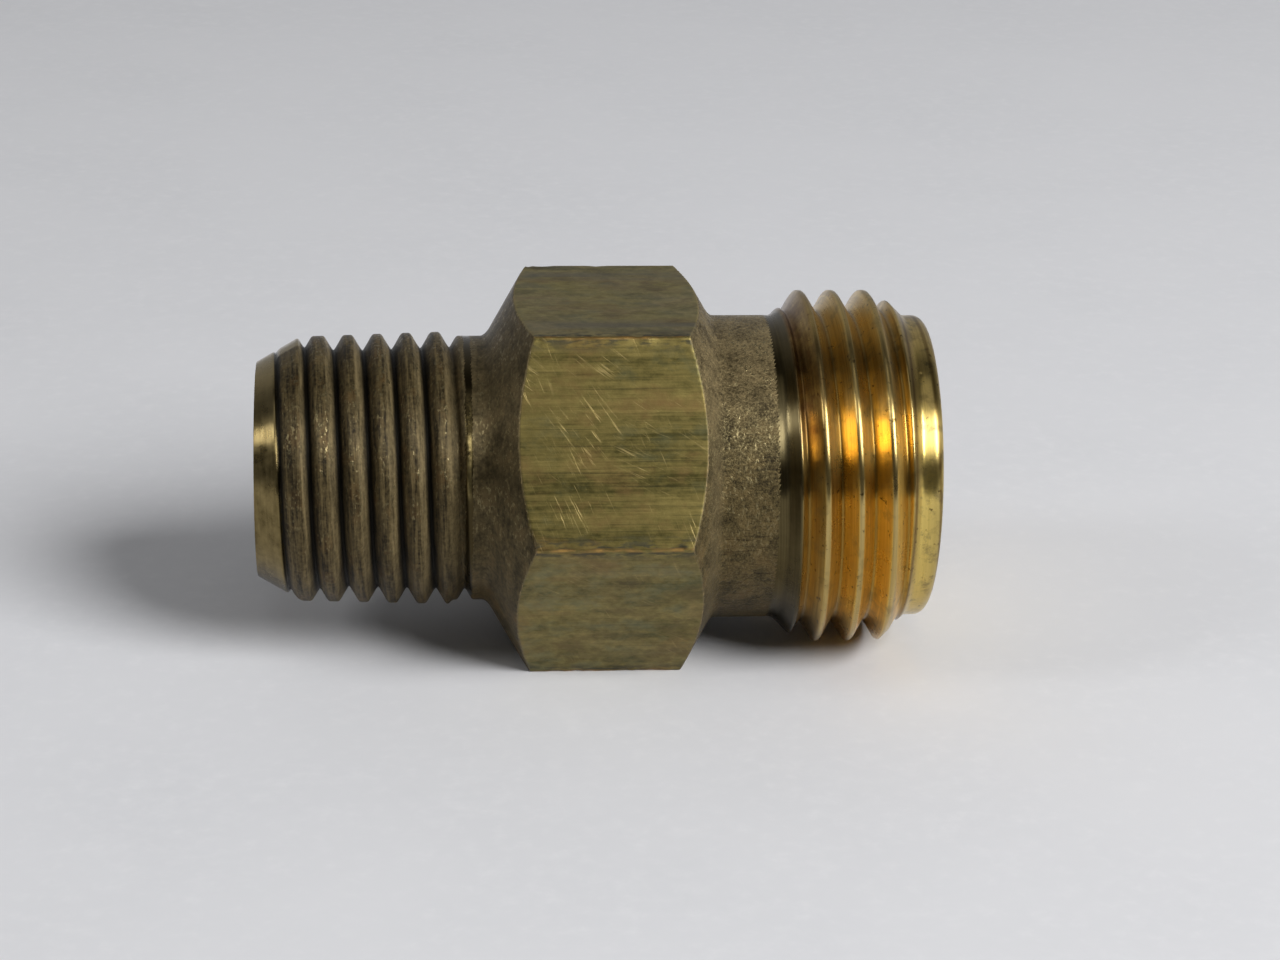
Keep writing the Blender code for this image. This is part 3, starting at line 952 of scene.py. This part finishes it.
def rounded_edge(points, half_length, half_width, corner):
    """The same points moved to the edge of a rectangle with rounded corners."""
    out = []
    for u, v in points:
        x, y = u * half_length, v * half_width
        inner_x = max(-(half_length - corner), min(half_length - corner, x))
        inner_y = max(-(half_width - corner), min(half_width - corner, y))
        away = math.hypot(x - inner_x, y - inner_y)
        scale = corner / away
        out.append((inner_x + (x - inner_x) * scale, inner_y + (y - inner_y) * scale))
    return out


def window_cell(centre, turn, vertices, faces):
    """A quarter of the barrel's wall around one window, from its outside through the window to its inside."""
    edge = cell_edge(16, BARREL_COLUMNS // 4)
    bevel = 0.08

    def cell(radius):
        return [to_world(centre + u * WINDOW_PITCH / 2.0, radius, turn + v / 8.0) for u, v in edge]

    def window(radius, grow):
        half = [size / 2.0 + grow for size in WINDOW_SIZE]
        points = rounded_edge(edge, half[0], half[1], WINDOW_CORNER + grow)
        return [to_world(centre + x, radius, turn + y / (TAU * BARREL_RADIUS)) for x, y in points]

    rings = [cell(BARREL_RADIUS), window(BARREL_RADIUS, bevel), window(BARREL_RADIUS - bevel, 0.0)]
    rings += [window(BARREL_BORE + bevel, 0.0), window(BARREL_BORE, bevel), cell(BARREL_BORE)]
    bridge(rings, vertices, faces)


def turned_piece(name, profile, rounding, columns):
    """Mesh object of one turned profile, with its corners rounded."""
    vertices, faces = [], []
    bridge(ring_places(soften(profile, rounding), columns), vertices, faces)
    return joined(name, vertices, faces)


def make_barrel():
    """The flanged tube of the strainer, with three rows of four windows."""
    vertices, faces = [], []
    start, end = WINDOW_ROWS[0] - WINDOW_PITCH / 2.0, WINDOW_ROWS[-1] + WINDOW_PITCH / 2.0
    tail = SCREEN_LOW.x / MM - INLET_X
    flange, lip = FLANGE_HIGH.y / MM, FLANGE_HIGH.x / MM - INLET_X
    tip = [(start, BARREL_RADIUS), (tail, BARREL_RADIUS), (tail, BARREL_BORE), (start, BARREL_BORE)]
    collar = SCREEN_HIGH.y / MM
    head = [(end, BARREL_RADIUS), (SCREEN_STOP, BARREL_RADIUS), (SCREEN_STOP, collar)]
    head += [(FLANGE_START, collar), (FLANGE_START, flange), (lip, flange)]
    head += [(lip, BARREL_BORE + BARREL_LEAD), (lip - BARREL_LEAD, BARREL_BORE), (end, BARREL_BORE)]
    for profile in (tip, head):
        bridge(ring_places(soften(profile, 0.1), BARREL_COLUMNS), vertices, faces)
    for centre in WINDOW_ROWS:
        for quarter in range(4):
            window_cell(centre, quarter / 4.0, vertices, faces)
    return joined("strainer_tube", vertices, faces)


def make_plug():
    """The turned plug that closes the strainer, with a lathe centre and a ring groove in its face."""
    face, end = ends(PLUG_LOW, PLUG_HIGH)
    rim = PLUG_HIGH.y / MM
    shoulder, spigot = 13.2, 2.8
    floor, drill = end - 0.5, 1.2
    profile = [(face + 0.3, 0.0), (face, 0.4), (face, 2.2), (face + 0.15, 2.35), (face, 2.5), (face, rim)]
    profile += [(shoulder, rim), (shoulder, spigot), (end, spigot)]
    profile += [(end, drill + 0.4), (floor, drill), (floor, 0.0)]
    return turned_piece("strainer_plug", profile, 0.1, BARREL_COLUMNS)


def make_gasket():
    """The flat rubber ring under the flange, with rounded edges and a fine moulding line."""
    low, high = ends(GASKET_LOW, GASKET_HIGH)
    outer, inner, middle = GASKET_HIGH.y / MM, 4.5, (low + high) / 2.0
    seam = [(middle - 0.03, outer - 0.04), (middle, outer), (middle + 0.03, outer - 0.04)]
    profile = [(low, inner + 0.2), (low, outer - 0.04)] + seam
    profile += [(high, outer - 0.04), (high, inner), (low, inner), (low, inner + 0.2)]
    return turned_piece("gasket_ring", profile, 0.12, GASKET_COLUMNS)


WIRE_RADIUS = 0.045
WIRE_SIDES = 6
AXIAL_WIRES = 50
HOOPS = 31
HEM_LENGTH = 0.5
HEM_COLUMNS = 100
LENGTHWISE = Vector((1.0, 0.0, 0.0))


def radial(turn):
    """Unit vector away from the flow axis."""
    return (Vector(to_world(0.0, 1.0, turn)) - Vector(to_world(0.0, 0.0, turn))).normalized()


def tube_along(places, outward, sideways, vertices, faces, closed):
    """A round wire through these places; outward and sideways span its cross-section at each of them."""
    first = len(vertices)
    for place, out, side in zip(places, outward, sideways):
        for k in range(WIRE_SIDES):
            angle = TAU * k / WIRE_SIDES
            vertices.append(place + (out * math.cos(angle) + side * math.sin(angle)) * WIRE_RADIUS * MM)
    count = len(places)
    for row in range(count if closed else count - 1):
        here, beyond = first + row * WIRE_SIDES, first + (row + 1) % count * WIRE_SIDES
        for k in range(WIRE_SIDES):
            after = (k + 1) % WIRE_SIDES
            faces.append((here + k, here + after, beyond + after, beyond + k))
    if not closed:
        faces.append(tuple(first + k for k in range(WIRE_SIDES)))
        faces.append(tuple(first + (count - 1) * WIRE_SIDES + k for k in reversed(range(WIRE_SIDES))))


def axial_wire(wire, start, pitch, middle, vertices, faces):
    """One wire of the cloth along the barrel, which passes over and under the hoops."""
    turn = wire / AXIAL_WIRES
    out = radial(turn)
    count = 2 * (HOOPS + 1) + 1
    places = []
    for k in range(count):
        wave = math.sin(math.pi * (k / 2.0 + wire + 0.5))
        places.append(Vector(to_world(start + k * pitch / 2.0, middle + WIRE_RADIUS * wave, turn)))
    tube_along(places, [out] * count, [LENGTHWISE.cross(out)] * count, vertices, faces, closed=False)


def hoop_wire(hoop, start, pitch, middle, vertices, faces):
    """One wire of the cloth around the barrel, which passes under and over the axial wires."""
    station = start + (hoop + 1) * pitch
    count = 2 * AXIAL_WIRES
    places = []
    for k in range(count):
        wave = -math.sin(math.pi * (hoop + 1 + k / 2.0 + 0.5))
        places.append(Vector(to_world(station, middle + WIRE_RADIUS * wave, k / count)))
    outward = [radial(k / count) for k in range(count)]
    tube_along(places, outward, [LENGTHWISE] * count, vertices, faces, closed=True)


def make_screen():
    """Woven wire cloth around the barrel, between two solid hems."""
    vertices, faces = [], []
    low, high = ends(SCREEN_LOW, SCREEN_HIGH)
    outer = SCREEN_HIGH.y / MM
    inner, middle = outer - 0.2, outer - 0.1
    for start in (low, high - HEM_LENGTH):
        end = start + HEM_LENGTH
        hem = [(start, middle), (start, outer), (end, outer), (end, inner), (start, inner), (start, middle)]
        bridge(ring_places(soften(hem, 0.06), HEM_COLUMNS), vertices, faces)
    start, end = low + 0.4, high - 0.4
    pitch = (end - start) / (HOOPS + 1)
    for wire in range(AXIAL_WIRES):
        axial_wire(wire, start, pitch, middle, vertices, faces)
    for hoop in range(HOOPS):
        hoop_wire(hoop, start, pitch, middle, vertices, faces)
    return mesh_object("strainer_mesh", vertices, faces)


def strainer_brass():
    """Clean turned brass of the strainer, with fine lathe rings and slight tarnish."""
    f = Finish("turned_brass_strainer")
    rings_at = f.point(f.axes(f.place)[0], f.from_axis())
    rings = f.noise((14.0, 14.0, 1.0), rough=0.6, at=rings_at)
    tarnish = f.noise(0.5, detail=5.0, rough=0.6)
    specks = f.noise(3.0, detail=2.0)
    colour = f.blend(rings, (0.5, 0.35, 0.11), (0.68, 0.5, 0.18))
    colour = f.blend(f.span(tarnish, 0.4, 0.9, 0.0, 0.7), colour, (0.26, 0.18, 0.06))
    colour = f.blend(f.span(specks, 0.82, 0.92, 0.0, 0.8), colour, (0.1, 0.065, 0.02))
    return f.finish(colour, f.blend(tarnish, 0.26, 0.4), f.bump(rings, 0.003))


def steel_wire():
    """Drawn stainless wire, a little stained where water dried on it."""
    f = Finish("steel_mesh_wire")
    stain = f.noise(0.6, detail=5.0, rough=0.6)
    grain = f.noise(20.0, detail=2.0)
    colour = f.blend(grain, (0.4, 0.39, 0.37), (0.55, 0.545, 0.53))
    colour = f.blend(f.span(stain, 0.55, 0.85, 0.0, 0.5), colour, (0.27, 0.22, 0.15))
    return f.finish(colour, f.blend(grain, 0.28, 0.38), f.bump(grain, 0.002))


def gasket_rubber():
    """Matte black rubber with a fine moulded grain and pale dust."""
    f = Finish("gasket_rubber_ring")
    grain = f.noise(9.0)
    dust = f.noise(1.2, detail=5.0, rough=0.65)
    colour = f.blend(grain, (0.018, 0.018, 0.018), (0.035, 0.034, 0.033))
    colour = f.blend(f.span(dust, 0.55, 0.9, 0.0, 0.35), colour, (0.12, 0.115, 0.1))
    f.shader.inputs["Specular IOR Level"].default_value = 0.35
    return f.finish(colour, f.blend(grain, 0.6, 0.75), f.bump(grain, 0.01), 0.0)


def place_inside(item, node, finish):
    """Hand one strainer piece over: it rides with the strainer and stands for its CAD node."""
    item.data.materials.append(finish)
    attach(item, "strainer")
    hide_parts(node)


place_inside(make_gasket(), "seat_gasket", gasket_rubber())
place_inside(make_barrel(), "strainer_barrel", strainer_brass())
place_inside(make_screen(), "strainer_screen", steel_wire())
place_inside(make_plug(), "strainer_end_plug", strainer_brass())


def make_floor():
    """A plain pale table top that the fitting lies on."""
    far = 1.5
    corners = [(-far, -far), (far, -far), (far, far), (-far, far)]
    table = mesh_object("floor", [(x, y, BODY_LOW.z) for x, y in corners], [(0, 1, 2, 3)])
    f = Finish("table_top")
    mottle = f.noise(0.08, detail=4.0)
    fibre = f.noise(1.2)
    tone = f.blend(fibre, mottle, fibre)
    colour = f.blend(tone, (0.77, 0.775, 0.8), (0.82, 0.822, 0.845))
    f.shader.inputs["Specular IOR Level"].default_value = 0.2
    table.data.materials.append(f.finish(colour, 0.75, metallic=0.0))


LAMP_DISTANCE = 0.6


def make_softbox(name, azimuth, elevation, diameter, radiance):
    """A round lamp that faces the fitting; its azimuth runs from the near side towards the outlet.

    Its radiance is the brightness of its face.
    """
    lamp = bpy.data.lights.new(name, "AREA")
    lamp.shape = "ELLIPSE"
    lamp.size = diameter
    lamp.size_y = diameter
    lamp.energy = radiance * math.pi * (math.pi / 4.0 * diameter * diameter)
    item = add_object(name, lamp)
    a, e = math.radians(azimuth), math.radians(elevation)
    away = Vector((math.sin(a) * math.cos(e), -math.cos(a) * math.cos(e), math.sin(e)))
    item.location = away * LAMP_DISTANCE
    item.rotation_euler = away.to_track_quat("Z", "Y").to_euler()


def make_room():
    """The dim room around the table: a pale wall behind, and darkness overhead and in front."""
    world = bpy.data.worlds.new("studio")
    world.use_nodes = True
    nodes, links = world.node_tree.nodes, world.node_tree.links
    place = nodes.new("ShaderNodeTexCoord").outputs["Generated"]
    split = nodes.new("ShaderNodeSeparateXYZ")
    links.new(place, split.inputs[0])
    behind = nodes.new("ShaderNodeMapRange")
    behind.interpolation_type = "SMOOTHSTEP"
    links.new(split.outputs["Y"], behind.inputs["Value"])
    for name, value in (("From Min", 0.25), ("From Max", 0.75), ("To Min", 0.07), ("To Max", 0.32)):
        behind.inputs[name].default_value = value
    background = nodes["Background"]
    background.inputs["Color"].default_value = (0.97, 0.98, 1.0, 1.0)
    links.new(behind.outputs["Result"], background.inputs["Strength"])
    bpy.context.scene.world = world


def make_camera():
    """Where the photograph was taken from; the lens, place and turn were fitted to it."""
    data = bpy.data.cameras.new("camera")
    data.sensor_width = 36.0
    data.lens = 90.67
    data.clip_start = 0.01
    camera = add_object("camera", data)
    camera.location = (-0.00979, -0.1461, 0.06194)
    camera.rotation_euler = [math.radians(v) for v in (66.848, -1.364, -4.191)]
    bpy.context.scene.camera = camera


make_floor()
make_softbox("key", azimuth=48.0, elevation=37.0, diameter=0.32, radiance=14.7)
make_softbox("side", azimuth=-75.0, elevation=34.0, diameter=0.15, radiance=8.3)
make_softbox("ceiling", azimuth=0.0, elevation=75.0, diameter=0.4, radiance=0.45)
make_room()
make_camera()
bpy.context.scene.view_settings.view_transform = "Standard"
